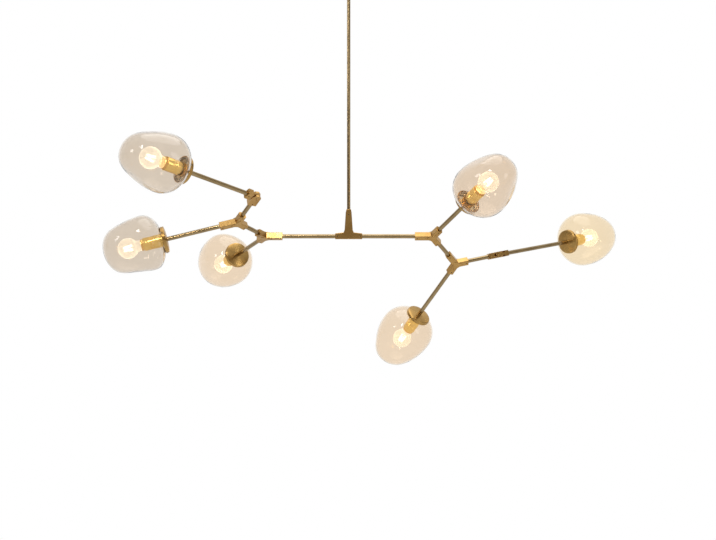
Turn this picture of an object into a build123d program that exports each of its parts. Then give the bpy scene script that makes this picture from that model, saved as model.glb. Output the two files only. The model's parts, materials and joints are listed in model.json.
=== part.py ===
from build123d import *

import os
from dataclasses import dataclass
from math import atan2, cos, degrees, exp, radians, sin, sqrt, tan

# Branching pendant light: six dimpled glass globes on brass arms, held by a tee,
# three-legged hubs and two hinged knuckles, and hung from the ceiling by one rod.
# Millimetres, +Z up, origin on the ceiling at the rod's axis, -Y towards the viewer.

# Stem and ceiling plate
drop = 620.0                 # ceiling to the axis of the main tubes
canopy_diameter = 120.0
canopy_height = 26.0
canopy_wall = 1.2
canopy_edge_radius = 6.0
crossbar_length = 104.0
crossbar_width = 18.0
crossbar_thickness = 3.0
ceiling_hole_spacing = 70.0
ceiling_hole_diameter = 4.5
nipple_diameter = 10.0
nipple_bore = 7.0
nipple_recess = 0.5          # the nipple's top stays this far below the ceiling
collar_diameter = 18.0
collar_height = 26.0
collar_tip_diameter = 12.0
collar_shoulder = 8.0        # height of the ledge that the rod's head turns on
rod_diameter = 8.0
rod_bore = 5.5
rod_head_height = 4.0
terminal_length = 20.0
terminal_width = 14.0
terminal_height = 13.0
terminal_offset = 18.5       # from the rod's axis to the terminal block's middle
terminal_hole_diameter = 3.0
terminal_count = 3

# Tubes, sockets and set screws
tube_diameter = 10.0
tube_bore = 7.5
fit_gap = 0.05               # radial clearance of a tube or pin in its hole
socket_depth = 11.0
wireway_diameter = 6.0
screw_diameter = 3.0
screw_key = 1.5              # across the flats of the key hole
screw_key_depth = 0.8
screw_sink = 0.1             # the screw stays this far inside the face it enters
screw_tip_gap = 0.1          # between the screw's tip and what it holds
screw_inset = 5.5            # from a socket's mouth to its screw

# Tee
tee_half_length = 31.5
tee_stem_height = 63.0
tee_depth = 14.0
tee_end_height = 13.5
tee_middle_height = 18.0
tee_stem_top_width = 13.6
tee_stem_root_width = 19.0
tee_stem_root = 15.0         # height of the stem's root above the tube axis
tee_tip_height = 7.0         # the stem's pointed top
tee_tip_width = 10.5
tee_bevel = 0.9

# Three-legged hubs
hub_leg_count = 3
hub_side = 15.0              # square legs
hub_bevel = 1.2
hub_long_leg = 41.0
hub_short_leg = 30.0
hub_pad_radius = 17.0        # raised three-cornered pad in the middle
hub_pad_rise = 0.8

# Knuckles
knuckle_width = 20.0
knuckle_depth = 14.0
knuckle_tongue = 5.6
knuckle_side_gap = 0.2       # between the tongue and each cheek
knuckle_end_gap = 0.5        # between the end of one half and the shoulder of the other
knuckle_end_corner = 6.0     # cut corners of the pivot ends
knuckle_max_bend = 102.0     # the halves' bodies meet just past this
knuckle_fork_length = 26.0   # pivot to the socket's mouth
knuckle_tongue_length = 26.0
pin_diameter = 5.0
pin_head_diameter = 9.0
pin_head_height = 2.0
pin_slot_width = 1.2
pin_slot_depth = 0.9

# Branch layout
main_half_span = 196.0       # tee's middle to each first hub
left_tilt = 72.0             # how far each first hub's upper leg leans to the viewer
right_tilt = 54.0
left_link = 110.0            # first hub to second hub
right_link = 124.0
left_roll = 26.6             # turn of each second hub about its link
right_roll = -37.3
elbow_stub = 104.0           # second hub to the knuckle's pivot
inline_stub = 109.0
elbow_roll = -7.9            # turn of each knuckle about its stub, and its bend
elbow_bend = 75.0
inline_roll = 175.7
inline_bend = 28.5
arm_reach = {1: 187.0, 2: 161.0, 3: 151.0, 4: 137.0, 5: 177.0, 6: 249.0}

# Light heads, measured along the arm from the outer face of the shade cup
cup_diameter = 60.0
cup_depth = 10.0
cup_wall = 1.5
cup_skirt = 6.6              # straight rim
cup_bead = 0.7               # half-round bead on the rim
glass_screw_count = 3        # set screws that hold the glass in the cup
tube_stick_through = 6.0     # the tube's end stands this far past the cup's outer face
holder_diameter = 30.0
holder_wall = 1.4
holder_mouth = 54.0
holder_floor = 3.0
insulator_end = 26.0
insulator_gap = 0.2
bulb_cap_diameter = 26.4
bulb_cap_end = 60.0
bulb_contact_diameter = 8.0
bulb_cap_taper = 4.0
bulb_pump_hole = 3.0
bulb_wall = 0.8
bulb_diameter = 47.0
bulb_middle = 89.5
bulb_neck_diameter = 25.0
seat_gap = 0.3               # axial play of the bulb and radial play of the glass lip

# Glass globes
glass_wall = 2.2
glass_lip_height = 1.5
glass_neck_clear = 1.2       # the neck is this much narrower in radius than the lip
glass_rim_gap = 0.5          # from the cup's rim to where the glass swells out
glass_back_fullness = 2.4    # 2 is a plain ellipse, and more is squarer
glass_front_fullness = 2.1
dent_spread = 36.0           # degrees over which a hollow fades
section_points = 12
section_polar = (18.0, 38.0, 58.0, 78.0, 98.0, 118.0, 138.0)


@dataclass
class Dent:
    """A soft hollow in a globe: angles from the far pole and round the arm, and its depth."""

    polar: float
    around: float
    depth: float


@dataclass
class GlobeForm:
    """One blown globe: its widest station, the length in front of it, its radius, how far its
    end leans to the upper side, and its hollows. A negative depth is a swelling."""

    middle: float
    front: float
    radius: float
    lean: float
    dents: tuple


globe_forms = {
    1: GlobeForm(
        73.0, 81.0, 67.0, -4.0,
        (Dent(60, 0, 9.5), Dent(55, 180, 16), Dent(80, 90, 7), Dent(70, 270, 9)),
    ),
    2: GlobeForm(
        67.0, 78.0, 72.0, 1.0,
        (Dent(70, 0, 12.5), Dent(80, 180, 14), Dent(75, 90, 11), Dent(85, 270, 10)),
    ),
    3: GlobeForm(
        80.0, 79.0, 65.0, 2.5,
        (Dent(110, 0, -8), Dent(45, 180, 16), Dent(70, 90, 5), Dent(75, 270, 6)),
    ),
    4: GlobeForm(
        79.0, 81.0, 69.0, -2.5,
        (Dent(60, 0, 15.5), Dent(50, 180, 16), Dent(70, 90, 9), Dent(80, 270, 8)),
    ),
    5: GlobeForm(
        86.0, 80.0, 71.0, 6.0,
        (Dent(55, 0, 15.5), Dent(60, 180, 12), Dent(75, 90, 9), Dent(80, 270, 10)),
    ),
    6: GlobeForm(
        80.0, 82.0, 72.0, -1.0,
        (Dent(55, 0, 16), Dent(52, 180, 16), Dent(75, 90, 10), Dent(70, 270, 11)),
    ),
}

leg_turn = 360 / hub_leg_count
view = Vector(0, 1, 0)
up = Vector(0, 0, 1)
ORIGIN = Vector(0, 0, 0)


def turned(vector, axis_direction, angle):
    """A direction turned by the right-hand rule about another one."""
    return vector.rotate(Axis(ORIGIN, axis_direction), angle)


def level_across(along):
    """The level direction square to a given one."""
    return along.cross(up).normalized()


def write(part, name):
    """Label a finished piece and write it as one file."""
    part.label = name
    export_step(part, f"parts/{name}.step")


# Places and directions of the branches
tee_centre = Vector(0, 0, -drop)
right = Vector(1, 0, 0)
left = -right
left_hub_centre = tee_centre + left * main_half_span
right_hub_centre = tee_centre + right * main_half_span

left_lean = turned(up, right, left_tilt)
right_lean = turned(up, right, right_tilt)
left_normal = right.cross(left_lean)
right_normal = right.cross(right_lean)
left_link_along = turned(right, left_normal, leg_turn)
right_link_along = turned(left, right_normal, leg_turn)
arm_along = {3: turned(right, left_normal, -leg_turn), 4: turned(left, right_normal, -leg_turn)}

left_outer_centre = left_hub_centre + left_link_along * left_link
right_outer_centre = right_hub_centre + right_link_along * right_link
left_outer_across = turned(level_across(left_link_along), left_link_along, left_roll)
right_outer_across = turned(level_across(right_link_along), right_link_along, right_roll)
left_outer_normal = left_link_along.cross(left_outer_across)
right_outer_normal = right_link_along.cross(right_outer_across)
arm_along[2] = turned(left_link_along, left_outer_normal, leg_turn / 2)
elbow_stub_along = turned(left_link_along, left_outer_normal, -leg_turn / 2)
inline_stub_along = turned(right_link_along, right_outer_normal, leg_turn / 2)
arm_along[5] = turned(right_link_along, right_outer_normal, -leg_turn / 2)

elbow_pivot = left_outer_centre + elbow_stub_along * elbow_stub
inline_pivot = right_outer_centre + inline_stub_along * inline_stub
elbow_side = turned(level_across(elbow_stub_along), elbow_stub_along, elbow_roll)
inline_side = turned(level_across(inline_stub_along), inline_stub_along, inline_roll)
elbow_axis = elbow_stub_along.cross(elbow_side)
inline_axis = inline_stub_along.cross(inline_side)
arm_along[1] = turned(elbow_stub_along, elbow_axis, elbow_bend)
arm_along[6] = turned(inline_stub_along, inline_axis, inline_bend)

arm_root = {
    1: elbow_pivot,
    2: left_outer_centre,
    3: left_hub_centre,
    4: right_hub_centre,
    5: right_outer_centre,
    6: inline_pivot,
}

# Sizes that follow from the driving ones
tube_radius = tube_diameter / 2
socket_radius = tube_radius + fit_gap
knuckle_half = knuckle_width / 2
knuckle_shoulder = knuckle_half * tan(radians(knuckle_max_bend / 2)) + knuckle_end_gap
knuckle_slot = knuckle_tongue + 2 * knuckle_side_gap
cup_radius = cup_diameter / 2
cup_edge_radius = cup_depth - cup_skirt
cup_face_radius = cup_radius - cup_edge_radius
glass_lip_radius = cup_radius - cup_wall - seat_gap
glass_neck_radius = glass_lip_radius - glass_neck_clear
glass_start = cup_depth - cup_skirt + seat_gap
glass_join = cup_depth + glass_rim_gap


def head_plane(arm):
    """Plane on the outer face of an arm's cup: Z along the arm, X to its upper side."""
    along = arm_along[arm]
    across = view.cross(along).normalized()
    if across.Z < 0:
        across = -across
    return Plane(arm_root[arm] + along * arm_reach[arm], x_dir=across, z_dir=along)


def profile_plane(plane):
    """Plane through a Z axis for turned profiles: X is the radius, Y runs along that axis."""
    return Plane(plane.origin, x_dir=plane.x_dir, z_dir=plane.x_dir.cross(plane.z_dir))


def turning_axis(plane):
    """The Z axis of a plane, to turn profiles about."""
    return Axis(plane.origin, plane.z_dir)


def pipe(plane, length, outer, bore):
    """Straight tube from a plane's origin along its Z."""
    with BuildPart() as tube:
        with BuildSketch(plane):
            Circle(outer / 2)
            Circle(bore / 2, mode=Mode.SUBTRACT)
        extrude(amount=length)
    return tube.part


def along_plane(start, along):
    """Plane at a point with Z along a direction."""
    return Plane(start, x_dir=level_across(along), z_dir=along)


def span_tube(name, start, along, first_reach, last_reach):
    """Tube along a line, seated in a socket at each end of the given reaches."""
    begin = first_reach - socket_depth
    end = last_reach + socket_depth
    write(pipe(along_plane(start + along * begin, along), end - begin, tube_diameter, tube_bore), name)


def set_screw(point, outward, reach, outer):
    """Set screw whose tip is at one radius from a point and whose keyed end is at another."""
    plane = Plane(point + outward * reach, z_dir=outward)
    length = outer - reach
    with BuildPart() as screw:
        with BuildSketch(plane):
            Circle(screw_diameter / 2)
        extrude(amount=length)
        with BuildSketch(plane.offset(length)):
            RegularPolygon(screw_key / 2, 6, major_radius=False)
        extrude(amount=-min(screw_key_depth, length / 2), mode=Mode.SUBTRACT)
    return screw.part


def socket_screw(point, outward, half_side):
    """Set screw through the wall of a square socket, down to the tube in it."""
    return set_screw(point, outward, tube_radius + screw_tip_gap, half_side - screw_sink)


def screw_hole(point, outward, reach):
    """Cutter for a set screw's hole, from a point on the socket's axis outwards."""
    with BuildPart() as hole:
        with BuildSketch(Plane(point, z_dir=outward)):
            Circle(screw_diameter / 2 + fit_gap)
        extrude(amount=reach)
    return hole.part


def socket_bore(mouth, inward, depth, socket_diameter, total, way_diameter):
    """Cutter for a socket and the narrower wireway behind it, from the mouth inwards."""
    plane = Plane(mouth, z_dir=inward)
    with BuildPart() as bore:
        with BuildSketch(plane):
            Circle(socket_diameter / 2 + fit_gap)
        extrude(amount=depth)
        with BuildSketch(plane):
            Circle(way_diameter / 2)
        extrude(amount=total)
    return bore.part


def tube_socket(mouth, inward, total):
    """Cutter for the socket of one of the branch tubes."""
    return socket_bore(mouth, inward, socket_depth, tube_diameter, total, wireway_diameter)


def make_hub(name, centre, long_along, normal):
    """Three-legged hub with a socket in each leg. Returns its set screws."""
    legs = []
    cutters = []
    for number in range(hub_leg_count):
        along = turned(long_along, normal, leg_turn * number)
        length = hub_long_leg if number == 0 else hub_short_leg
        mouth = centre + along * length
        legs.append((along, length))
        cutters.append(tube_socket(mouth, -along, length))
        cutters.append(screw_hole(mouth - along * screw_inset, normal, hub_side))
    pad_height = hub_side + 2 * hub_pad_rise
    with BuildPart() as hub:
        for along, length in legs:
            with BuildSketch(Plane(centre, x_dir=normal, z_dir=along)):
                Rectangle(hub_side, hub_side)
                chamfer(vertices(), hub_bevel)
            extrude(amount=length)
        with BuildSketch(Plane(centre - normal * (pad_height / 2), x_dir=long_along, z_dir=normal)):
            RegularPolygon(hub_pad_radius, hub_leg_count)
        extrude(amount=pad_height)
        add(cutters, mode=Mode.SUBTRACT)
    write(hub.part, name)
    points = [centre + along * (length - screw_inset) for along, length in legs]
    return [socket_screw(point, normal, hub_side / 2) for point in points]


def make_tee():
    """Tee: a tapered stem on a tapered bar, with sockets for the rod and both main tubes."""
    front = Plane(tee_centre + view * (tee_depth / 2), x_dir=right, z_dir=-view)
    end = tee_end_height / 2
    middle = tee_middle_height / 2
    root = tee_stem_root_width / 2
    top = tee_stem_top_width / 2
    tip = tee_tip_width / 2
    neck = tee_stem_height - tee_tip_height
    stem_mouth = tee_centre + up * tee_stem_height
    stem_point = stem_mouth - up * (tee_tip_height + screw_inset)
    stem_depth = tee_tip_height + socket_depth
    cutters = [
        socket_bore(stem_mouth, -up, stem_depth, rod_diameter, tee_stem_height, rod_bore),
        screw_hole(stem_point, -view, tee_depth),
    ]
    for side in (left, right):
        mouth = tee_centre + side * tee_half_length
        cutters.append(tube_socket(mouth, -side, tee_half_length))
        cutters.append(screw_hole(mouth - side * screw_inset, -view, tee_depth))
    with BuildPart() as tee:
        with BuildSketch(front):
            with BuildLine():
                Polyline(
                    (-tee_half_length, -end),
                    (tee_half_length, -end),
                    (tee_half_length, end),
                    (root + middle - end, middle),
                    (root, tee_stem_root),
                    (top, neck),
                    (tip, tee_stem_height),
                    (-tip, tee_stem_height),
                    (-top, neck),
                    (-root, tee_stem_root),
                    (-root - middle + end, middle),
                    (-tee_half_length, end),
                    close=True,
                )
            make_face()
        extrude(amount=tee_depth)
        chamfer(tee.faces().filter_by(Axis.Y).edges(), tee_bevel)
        add(cutters, mode=Mode.SUBTRACT)
    write(tee.part, "tee_hub")
    screws = [
        socket_screw(tee_centre + side * (tee_half_length - screw_inset), -view, tee_depth / 2)
        for side in (left, right)
    ]
    reach = rod_diameter / 2 + screw_tip_gap
    screws.append(set_screw(stem_point, -view, reach, tee_depth / 2 - screw_sink))
    write(Compound(children=screws), "tee_set_screws")


def make_stem():
    """Ceiling parts and the rod, all turned about the vertical axis except crossbar and terminals."""
    section = Plane.XZ
    seat = -canopy_height - collar_height + collar_shoulder
    radius = canopy_diameter / 2

    with BuildPart() as canopy:
        with BuildSketch(section):
            with BuildLine():
                inner = radius - canopy_wall
                hole = nipple_diameter / 2 + fit_gap
                floor = -canopy_height
                soft = canopy_edge_radius
                Line((radius, 0), (radius, floor + soft))
                CenterArc((radius - soft, floor + soft), soft, 0, -90)
                Line((radius - soft, floor), (hole, floor))
                Line((hole, floor), (hole, floor + canopy_wall))
                Line((hole, floor + canopy_wall), (radius - soft, floor + canopy_wall))
                CenterArc((radius - soft, floor + soft), soft - canopy_wall, -90, 90)
                Line((inner, floor + soft), (inner, 0))
                Line((inner, 0), (radius, 0))
            make_face()
        revolve(axis=Axis.Z)
    write(canopy.part, "canopy")

    with BuildPart() as crossbar:
        with BuildSketch(Plane.XY):
            SlotOverall(crossbar_length, crossbar_width)
            Circle(nipple_diameter / 2 + fit_gap, mode=Mode.SUBTRACT)
            with GridLocations(ceiling_hole_spacing, 0, 2, 1):
                Circle(ceiling_hole_diameter / 2, mode=Mode.SUBTRACT)
        extrude(amount=-crossbar_thickness)
    write(crossbar.part, "crossbar")

    nipple_top = Plane(-up * nipple_recess, z_dir=-up)
    nipple_length = -seat - nipple_recess - rod_head_height - seat_gap
    write(pipe(nipple_top, nipple_length, nipple_diameter, nipple_bore), "stem_nipple")

    with BuildPart() as collar:
        with BuildSketch(section):
            with BuildLine():
                top = -canopy_height
                bottom = top - collar_height
                bore = nipple_diameter / 2 + fit_gap
                passage = rod_diameter / 2 + fit_gap
                Polyline(
                    (bore, top),
                    (collar_diameter / 2, top),
                    (collar_diameter / 2, seat),
                    (collar_tip_diameter / 2, bottom),
                    (passage, bottom),
                    (passage, seat),
                    (bore, seat),
                    (bore, top),
                )
            make_face()
        revolve(axis=Axis.Z)
    write(collar.part, "stem_collar")

    rod_end = -drop + tee_stem_height - tee_tip_height - socket_depth
    with BuildPart() as rod:
        with BuildSketch(section):
            with BuildLine():
                head = nipple_diameter / 2
                head_top = seat + rod_head_height
                Polyline(
                    (rod_bore / 2, head_top),
                    (head, head_top),
                    (head, seat),
                    (rod_diameter / 2, seat),
                    (rod_diameter / 2, rod_end),
                    (rod_bore / 2, rod_end),
                    (rod_bore / 2, head_top),
                )
            make_face()
        revolve(axis=Axis.Z)
    write(rod.part, "stem_rod")

    block_middle = Vector(terminal_offset, 0, -crossbar_thickness)
    drill_start = block_middle - up * (terminal_height / 2) - view * terminal_width
    with BuildPart() as block:
        with BuildSketch(Plane(block_middle, z_dir=-up)):
            Rectangle(terminal_length, terminal_width)
        extrude(amount=terminal_height)
        fillet(block.edges().filter_by(Axis.Z), terminal_hole_diameter / 2)
        with BuildSketch(Plane(drill_start, z_dir=view)):
            with GridLocations(terminal_length / terminal_count, 0, terminal_count, 1):
                Circle(terminal_hole_diameter / 2)
        extrude(amount=2 * terminal_width, mode=Mode.SUBTRACT)
    write(block.part, "terminal_block")


def knuckle_half_part(pivot, back, axis_direction, length, cutters):
    """Bar of one knuckle half, from past the pivot back to its socket's mouth, less its cutters."""
    mouth = pivot + back * length
    cutters = cutters + [
        tube_socket(mouth, -back, length - knuckle_shoulder + fit_gap),
        screw_hole(mouth - back * screw_inset, axis_direction, knuckle_depth),
    ]
    base = Plane(pivot - axis_direction * (knuckle_depth / 2), x_dir=back, z_dir=axis_direction)
    with BuildPart() as half:
        with BuildSketch(base):
            with Locations(((length - knuckle_half) / 2, 0)):
                Rectangle(length + knuckle_half, knuckle_width)
            chamfer(vertices().sort_by(Axis.X)[:2], knuckle_end_corner)
        extrude(amount=knuckle_depth)
        add(cutters, mode=Mode.SUBTRACT)
    return half.part


def slab(plane, height):
    """Cutter over the pivot end of a knuckle half, from a plane up, as far back as the shoulder."""
    with BuildPart() as block:
        with BuildSketch(plane):
            with Locations(((knuckle_shoulder - knuckle_width) / 2, 0)):
                Rectangle(knuckle_shoulder + knuckle_width, 2 * knuckle_width)
        extrude(amount=height)
    return block.part


def pin_body(pivot, axis_direction, shank, head, length):
    """Headed pin through a knuckle, with its head's face flush with one side."""
    top = Plane(pivot + axis_direction * (knuckle_depth / 2), z_dir=-axis_direction)
    with BuildPart() as body:
        with BuildSketch(top):
            Circle(shank / 2)
        extrude(amount=length)
        with BuildSketch(top):
            Circle(head / 2)
        extrude(amount=pin_head_height)
    return body.part


def make_knuckle(name, pivot, stub_along, arm_direction, axis_direction):
    """Hinged knuckle: a fork on the stub, a tongue on the arm and a slotted pin.
    Returns the tongue's screw."""
    back = -stub_along
    slot_base = Plane(pivot - axis_direction * (knuckle_slot / 2), x_dir=back, z_dir=axis_direction)
    pin_hole = pin_body(pivot, axis_direction, pin_diameter, pin_head_diameter, knuckle_depth)
    cutters = [slab(slot_base, knuckle_slot), pin_hole]
    write(knuckle_half_part(pivot, back, axis_direction, knuckle_fork_length, cutters), f"{name}_fork")

    running = pin_diameter + 2 * fit_gap
    cutters = [pin_body(pivot, axis_direction, running, running, knuckle_depth)]
    cheek = (knuckle_depth - knuckle_tongue) / 2
    for outward in (axis_direction, -axis_direction):
        face = Plane(pivot + outward * (knuckle_tongue / 2), x_dir=arm_direction, z_dir=outward)
        cutters.append(slab(face, cheek))
    tongue = knuckle_half_part(pivot, arm_direction, axis_direction, knuckle_tongue_length, cutters)
    write(tongue, f"{name}_tongue")

    whole_pin = pin_body(pivot, axis_direction, pin_diameter, pin_head_diameter, knuckle_depth)
    with BuildPart() as pin:
        add(whole_pin)
        with BuildSketch(Plane(pivot + axis_direction * (knuckle_depth / 2), z_dir=-axis_direction)):
            Rectangle(pin_head_diameter, pin_slot_width)
        extrude(amount=pin_slot_depth, mode=Mode.SUBTRACT)
    write(pin.part, f"{name}_pin")
    point = pivot + arm_direction * (knuckle_tongue_length - screw_inset)
    return [socket_screw(point, axis_direction, knuckle_depth / 2)]


def make_cup(arm, plane):
    """Turned shade cup: flat face, rounded edge and beaded rim, with holes for the glass screws."""
    rim = cup_depth
    shoulder = cup_edge_radius
    edge_middle = (cup_face_radius, shoulder)
    cutters = [screw_hole(point, outward, cup_diameter) for point, outward in glass_screw_places(plane)]
    with BuildPart() as cup:
        with BuildSketch(profile_plane(plane)):
            with BuildLine():
                hole = socket_radius
                inner = cup_radius - cup_wall
                Line((hole, 0), (cup_face_radius, 0))
                CenterArc(edge_middle, cup_edge_radius, -90, 90)
                Line((cup_radius, shoulder), (cup_radius, rim - 2 * cup_bead))
                bead_start = (cup_radius, rim - 2 * cup_bead)
                ThreePointArc(bead_start, (cup_radius + cup_bead, rim - cup_bead), (cup_radius, rim))
                Polyline((cup_radius, rim), (inner, rim), (inner, shoulder))
                CenterArc(edge_middle, cup_edge_radius - cup_wall, -90, 90)
                Polyline((cup_face_radius, cup_wall), (hole, cup_wall), (hole, 0))
            make_face()
        revolve(axis=turning_axis(plane))
        add(cutters, mode=Mode.SUBTRACT)
    write(cup.part, f"shade_cup_{arm}")


def glass_screw_places(plane):
    """Points on the arm's axis and outward directions of the three screws that hold the glass."""
    station = (glass_start + glass_lip_height + cup_depth - 2 * cup_bead) / 2
    point = plane.origin + plane.z_dir * station
    step = 360 / glass_screw_count
    turns = [step * (number + 0.5) for number in range(glass_screw_count)]
    return [(point, turned(plane.x_dir, plane.z_dir, turn)) for turn in turns]


def make_holder(arm, plane):
    """Lampholder: a turned sleeve with a floor that grips the tube, and the insulator in it."""
    outer = holder_diameter / 2
    inner = outer - holder_wall
    floor_top = cup_wall + holder_floor
    with BuildPart() as sleeve:
        with BuildSketch(profile_plane(plane)):
            with BuildLine():
                Polyline(
                    (socket_radius, cup_wall),
                    (outer, cup_wall),
                    (outer, holder_mouth),
                    (inner, holder_mouth),
                    (inner, floor_top),
                    (socket_radius, floor_top),
                    (socket_radius, cup_wall),
                )
            make_face()
        revolve(axis=turning_axis(plane))
    insulator_start = max(floor_top, tube_stick_through) + insulator_gap
    with BuildPart() as insulator:
        with BuildSketch(plane.offset(insulator_start)):
            Circle(inner - insulator_gap)
            Circle(bulb_pump_hole / 2, mode=Mode.SUBTRACT)
        extrude(amount=insulator_end - insulator_start)
    write(Compound(children=[sleeve.part, insulator.part]), f"lampholder_{arm}")


def bulb_outline(shrink, start):
    """Half outline of the bulb, from its contact to its tip, moved in by a wall."""
    neck = bulb_neck_diameter / 2 - shrink
    ball = bulb_diameter / 2 - shrink
    cap = bulb_cap_diameter / 2 - shrink
    contact = bulb_contact_diameter / 2 - shrink
    join = bulb_middle - sqrt(ball**2 - neck**2)
    tip = (0, bulb_middle + ball)
    return start, contact, cap, neck, join, ball, tip


def make_bulb(arm, plane):
    """Hollow round bulb with a screw cap, open through a small pump hole at its contact."""
    begin = insulator_end + seat_gap
    inside = begin + bulb_wall
    with BuildPart() as bulb:
        with BuildSketch(profile_plane(plane)):
            with BuildLine():
                hole = bulb_pump_hole / 2
                start, contact, cap, neck, join, ball, tip = bulb_outline(0, begin)
                Polyline(
                    (hole, start),
                    (contact, start),
                    (cap, start + bulb_cap_taper),
                    (cap, bulb_cap_end),
                    (neck, bulb_cap_end),
                    (neck, join),
                )
                half_angle = degrees(atan2(neck, bulb_middle - join))
                middle = radians((180 - half_angle) / 2)
                across = (ball * sin(middle), bulb_middle + ball * cos(middle))
                ThreePointArc((neck, join), across, tip)
                start, contact, cap, neck, join, ball, inner_tip = bulb_outline(bulb_wall, inside)
                Line(tip, inner_tip)
                half_angle = degrees(atan2(neck, bulb_middle - join))
                middle = radians((180 - half_angle) / 2)
                across = (ball * sin(middle), bulb_middle + ball * cos(middle))
                ThreePointArc(inner_tip, across, (neck, join))
                Polyline((neck, join), (neck, bulb_cap_end - bulb_wall), (cap, bulb_cap_end - bulb_wall))
                Polyline((cap, bulb_cap_end - bulb_wall), (cap, start + bulb_cap_taper), (contact, start))
                Polyline((contact, start), (hole, start), (hole, begin))
            make_face()
        revolve(axis=turning_axis(plane))
    write(bulb.part, f"bulb_{arm}")


def dent_pull(form, polar, around):
    """How far a globe's hollows pull its skin in at a polar angle and an angle round the arm."""
    pull = 0.0
    for dent in form.dents:
        facing = cos(radians(polar)) * cos(radians(dent.polar))
        facing += sin(radians(polar)) * sin(radians(dent.polar)) * cos(radians(around - dent.around))
        away = degrees(atan2(sqrt(max(0.0, 1 - facing**2)), facing))
        pull += dent.depth * exp(-((away / dent_spread) ** 2))
    return pull


def ring_points(ring, turns, lean):
    """Points of one cross section of a globe, from its radii and the angles that they stand at."""
    angles = [radians(turn) for turn in turns]
    return [(lean + radius * cos(angle), radius * sin(angle)) for radius, angle in zip(ring, angles)]


def globe_skin(form, plane, shrink):
    """Solid inside one skin of a globe: its neck, and a loft through cross sections to its far pole."""
    neck = glass_neck_radius - shrink
    radius = form.radius - shrink
    join = glass_join + shrink
    tip = form.middle + form.front - shrink
    neck_sine = (neck / radius) ** (glass_back_fullness / 2)
    back = (form.middle - join) / (1 - neck_sine**2) ** (1 / glass_back_fullness)
    turns = [360 * number / section_points for number in range(section_points)]
    rings = [[neck] * section_points]
    heights = [join]
    for polar in reversed(section_polar):
        in_front = polar <= 90
        power = 2 / (glass_front_fullness if in_front else glass_back_fullness)
        step = abs(cos(radians(polar))) ** power
        reach = tip - form.middle if in_front else -back
        heights.append(form.middle + reach * step)
        width = sin(radians(polar)) ** power
        rings.append([width * (radius - dent_pull(form, polar, around)) for around in turns])
    leans = [form.lean * (height - join) / (tip - join) for height in heights]
    pole = plane.origin + plane.z_dir * tip + plane.x_dir * form.lean
    sections = []
    with BuildPart() as skin:
        for ring, height, lean in zip(rings, heights, leans):
            with BuildSketch(plane.offset(height), mode=Mode.PRIVATE) as section:
                with BuildLine():
                    Spline(*ring_points(ring, turns, lean), periodic=True)
                make_face()
            sections.append(section.sketch.faces()[0])
        loft(sections=[*sections, Vertex(*pole)])
        extrude(sections[0], amount=join - glass_start, dir=-plane.z_dir)
    return skin.part


def make_globe(arm, plane):
    """Hollow dimpled glass globe with a lipped neck."""
    outer = globe_skin(globe_forms[arm], plane, 0)
    inner = globe_skin(globe_forms[arm], plane, glass_wall)
    with BuildPart() as globe:
        add(outer)
        with BuildSketch(plane.offset(glass_start)):
            Circle(glass_lip_radius)
        extrude(amount=glass_lip_height)
        add(inner, mode=Mode.SUBTRACT)
    write(globe.part, f"glass_globe_{arm}")


def make_head(arm, first_reach):
    """Arm tube, cup, lampholder, bulb and globe of one light. Returns the screws that hold its glass."""
    plane = head_plane(arm)
    begin = first_reach - socket_depth
    end = arm_reach[arm] + tube_stick_through
    start = arm_root[arm] + arm_along[arm] * begin
    tube = pipe(along_plane(start, arm_along[arm]), end - begin, tube_diameter, tube_bore)
    write(tube, f"arm_tube_{arm}")
    make_cup(arm, plane)
    make_holder(arm, plane)
    make_bulb(arm, plane)
    make_globe(arm, plane)
    tip = glass_neck_radius + screw_tip_gap
    outer = cup_radius + cup_bead
    return [set_screw(point, outward, tip, outer) for point, outward in glass_screw_places(plane)]


def main():
    """Build every piece and write one file for each."""
    os.makedirs("parts", exist_ok=True)
    make_stem()
    make_tee()
    span_tube("main_tube_left", tee_centre, left, tee_half_length, main_half_span - hub_long_leg)
    span_tube("main_tube_right", tee_centre, right, tee_half_length, main_half_span - hub_long_leg)

    screws = make_hub("left_hub", left_hub_centre, right, left_normal)
    write(Compound(children=screws + make_head(3, hub_short_leg)), "left_hub_set_screws")
    link_end = left_link - hub_short_leg
    span_tube("left_link_tube", left_hub_centre, left_link_along, hub_short_leg, link_end)

    screws = make_hub("left_outer_hub", left_outer_centre, arm_along[2], left_outer_normal)
    write(Compound(children=screws + make_head(2, hub_long_leg)), "left_outer_hub_set_screws")
    fork_mouth = elbow_stub - knuckle_fork_length
    span_tube("elbow_stub_tube", left_outer_centre, elbow_stub_along, hub_short_leg, fork_mouth)

    screws = make_hub("right_hub", right_hub_centre, left, right_normal)
    write(Compound(children=screws + make_head(4, hub_short_leg)), "right_hub_set_screws")
    link_end = right_link - hub_long_leg
    span_tube("right_link_tube", right_hub_centre, right_link_along, hub_short_leg, link_end)

    screws = make_hub("right_outer_hub", right_outer_centre, -right_link_along, right_outer_normal)
    write(Compound(children=screws + make_head(5, hub_short_leg)), "right_outer_hub_set_screws")
    fork_mouth = inline_stub - knuckle_fork_length
    span_tube("inline_stub_tube", right_outer_centre, inline_stub_along, hub_short_leg, fork_mouth)

    screws = make_knuckle("elbow", elbow_pivot, elbow_stub_along, arm_along[1], elbow_axis)
    write(Compound(children=screws + make_head(1, knuckle_tongue_length)), "arm_1_set_screws")
    screws = make_knuckle("inline", inline_pivot, inline_stub_along, arm_along[6], inline_axis)
    write(Compound(children=screws + make_head(6, knuckle_tongue_length)), "arm_6_set_screws")


main()
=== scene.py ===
"""Looks of a branching glass chandelier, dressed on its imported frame.

The frame gives the brass castings, tubes and ceiling fittings. This script adds the turned
cups, lampholders, lit bulbs and dimpled glass globes, and gives every piece its finish.
"""

import json
import logging
from dataclasses import dataclass, field, replace
from enum import Enum
from math import acos, cos, degrees, exp, pi, radians, sin, sqrt
from typing import Any, Optional, Sequence, Union

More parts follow.
